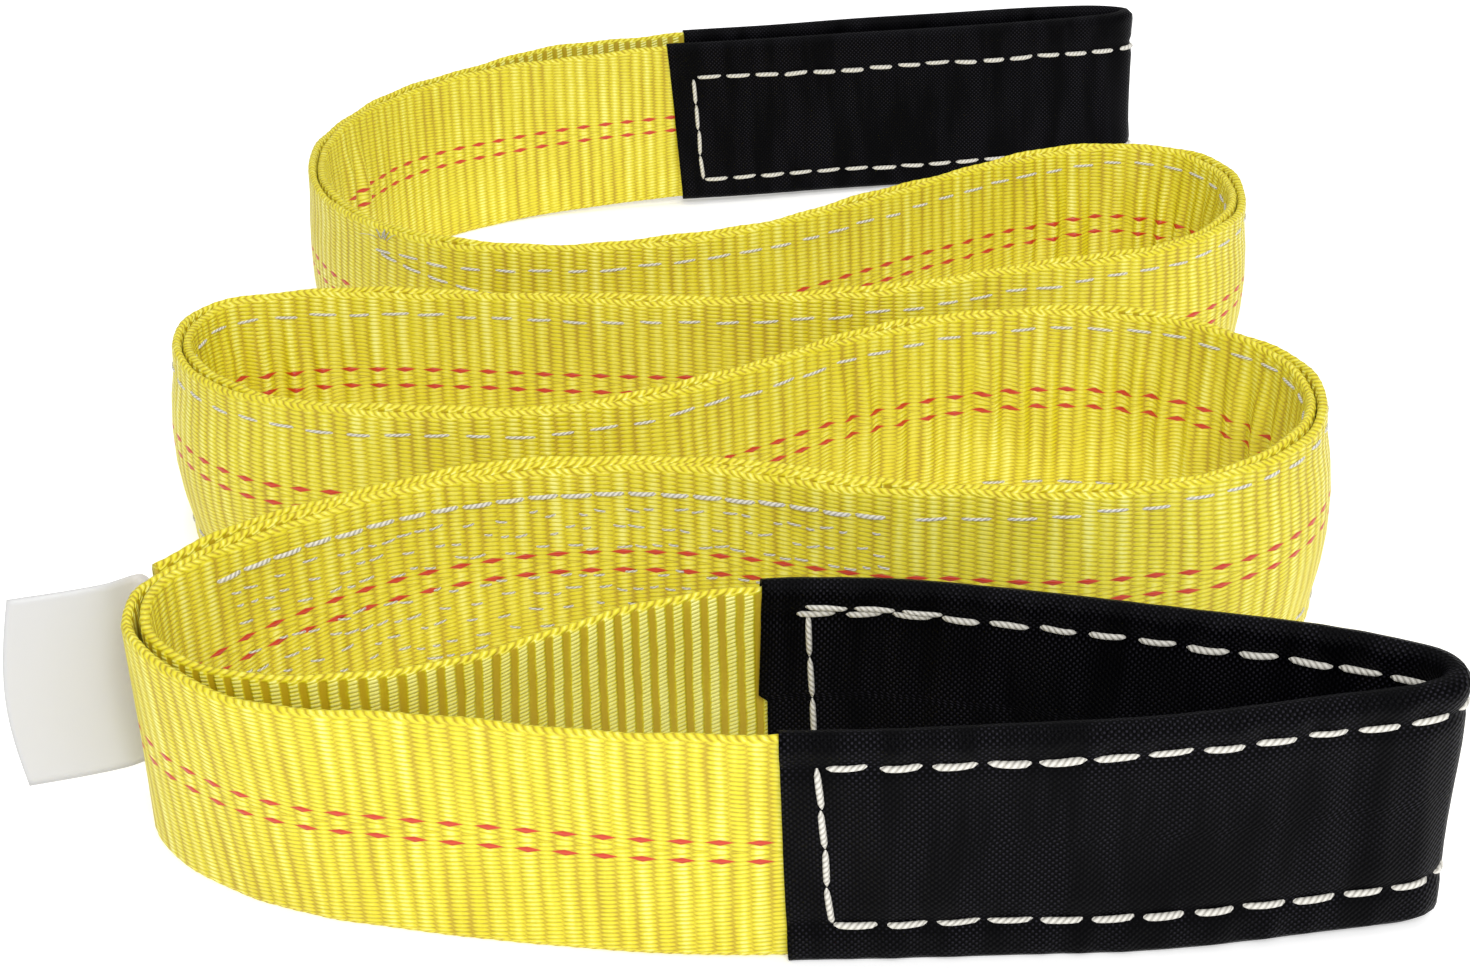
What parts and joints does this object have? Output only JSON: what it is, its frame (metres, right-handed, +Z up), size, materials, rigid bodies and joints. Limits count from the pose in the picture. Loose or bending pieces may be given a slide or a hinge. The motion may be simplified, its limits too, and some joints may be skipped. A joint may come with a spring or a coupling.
{
  "type": "tow strap",
  "caption": "Two-ply webbing tow strap with a flat eye at each end, stitched splice and black wear sleeves on the eye folds, standing on edge in open bends, with a blank tag.",
  "frame": {"origin": "middle of the strap's footprint, on the floor that its lower edge stands on", "axes": "+Z up, across the webbing's width; +Y from the eye at the front to the eye at the back; +X to the right, towards both eye folds"},
  "size_m": [0.2746, 0.4264, 0.0526],
  "materials": {
    "webbing": "satin",
    "sleeve": "matte",
    "tag": "satin"
  },
  "bodies": {
    "root": {"webbing": "webbing", "wear_sleeve_front": "sleeve", "wear_sleeve_rear": "sleeve", "tag": "tag"}
  },
  "joints": []
}
